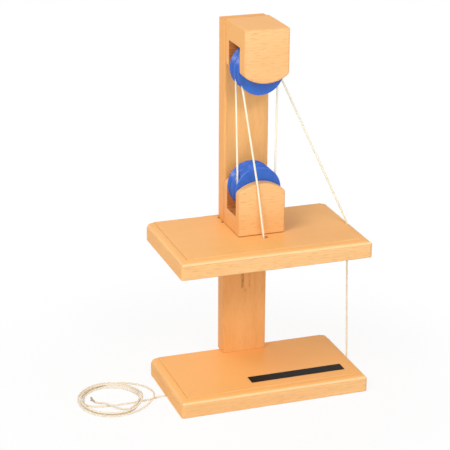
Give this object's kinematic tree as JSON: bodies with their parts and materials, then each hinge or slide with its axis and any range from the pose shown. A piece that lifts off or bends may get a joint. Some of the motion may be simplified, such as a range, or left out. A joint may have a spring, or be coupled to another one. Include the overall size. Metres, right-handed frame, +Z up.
{
  "type": "block and tackle",
  "caption": "Free-standing wooden block and tackle: a platform slides on a post and is lifted by a cord rove between a fixed upper sheave block and a moving lower one.",
  "frame": {"origin": "on the table, under the middle of the platform's plan, which is also the middle of the box round the stand without its free cord", "axes": "+Z up along the post, +Y from the front edge of the boards towards the post, +X to the right of someone who faces the front"},
  "size_m": [0.297, 0.122, 0.3872],
  "materials": {
    "wood": "clear lacquered, pale and even grained",
    "blue_plastic": "moulded, satin",
    "steel": "zinc plated",
    "black_strip": "bare black strip",
    "cord": "twisted, unbleached"
  },
  "bodies": {
    "stand": {"base_board": "wood", "post": "wood", "upper_block": "wood", "post_screw_left": "steel", "post_screw_right": "steel", "upper_block_screw_left": "steel", "upper_block_screw_right": "steel", "upper_axle": "steel", "upper_spacer": "steel", "name_strip": "black_strip", "cord_front_left": "cord", "cord_over_front": "cord", "cord_front_right": "cord", "cord_rear_left": "cord", "cord_over_rear": "cord", "cord_haul_slant": "cord", "cord_haul_drop": "cord", "cord_under_base": "cord", "cord_lead": "cord", "cord_coil": "cord", "cord_free_end": "cord", "cord_end_knot": "cord"},
    "platform": {"platform_board": "wood", "keeper_strip": "wood", "keeper_screw_left": "steel", "keeper_screw_right": "steel", "lower_block": "wood", "lower_block_screw_left": "steel", "lower_block_screw_right": "steel", "lower_axle": "steel", "becket_knot": "cord", "cord_becket": "cord", "cord_under_lower": "cord", "cord_platform_guide": "cord"},
    "upper_front_wheel": {"upper_front_sheave": "blue_plastic"},
    "upper_rear_wheel": {"upper_rear_sheave": "blue_plastic"},
    "lower_front_wheel": {"lower_front_sheave": "blue_plastic"},
    "lower_rear_wheel": {"lower_rear_sheave": "blue_plastic"}
  },
  "joints": [
    {"name": "platform_slide", "type": "slide", "parent": "stand", "child": "platform", "axis": [0, 0, 1], "range_m": [-0.131, 0.07], "deforming": ["cord_front_left", "cord_front_right", "cord_rear_left", "cord_haul_slant", "cord_haul_drop"]},
    {"name": "upper_front_spin", "type": "hinge", "parent": "stand", "child": "upper_front_wheel", "pos_m": [0, 0.0029, 0.3405], "axis": [0, 1, 0], "continuous": true},
    {"name": "upper_rear_spin", "type": "hinge", "parent": "stand", "child": "upper_rear_wheel", "pos_m": [0, 0.0163, 0.3405], "axis": [0, 1, 0], "continuous": true},
    {"name": "lower_front_spin", "type": "hinge", "parent": "platform", "child": "lower_front_wheel", "pos_m": [0, 0.0071, 0.2145], "axis": [0, 1, 0], "continuous": true},
    {"name": "lower_rear_spin", "type": "hinge", "parent": "platform", "child": "lower_rear_wheel", "pos_m": [0, 0.0205, 0.2145], "axis": [0, 1, 0], "continuous": true}
  ],
  "couplings": [
    {"joint": "upper_front_spin", "follows": "platform_slide", "rad_per_m": 49.751},
    {"joint": "lower_front_spin", "follows": "platform_slide", "rad_per_m": 99.502},
    {"joint": "upper_rear_spin", "follows": "platform_slide", "rad_per_m": 149.25}
  ]
}
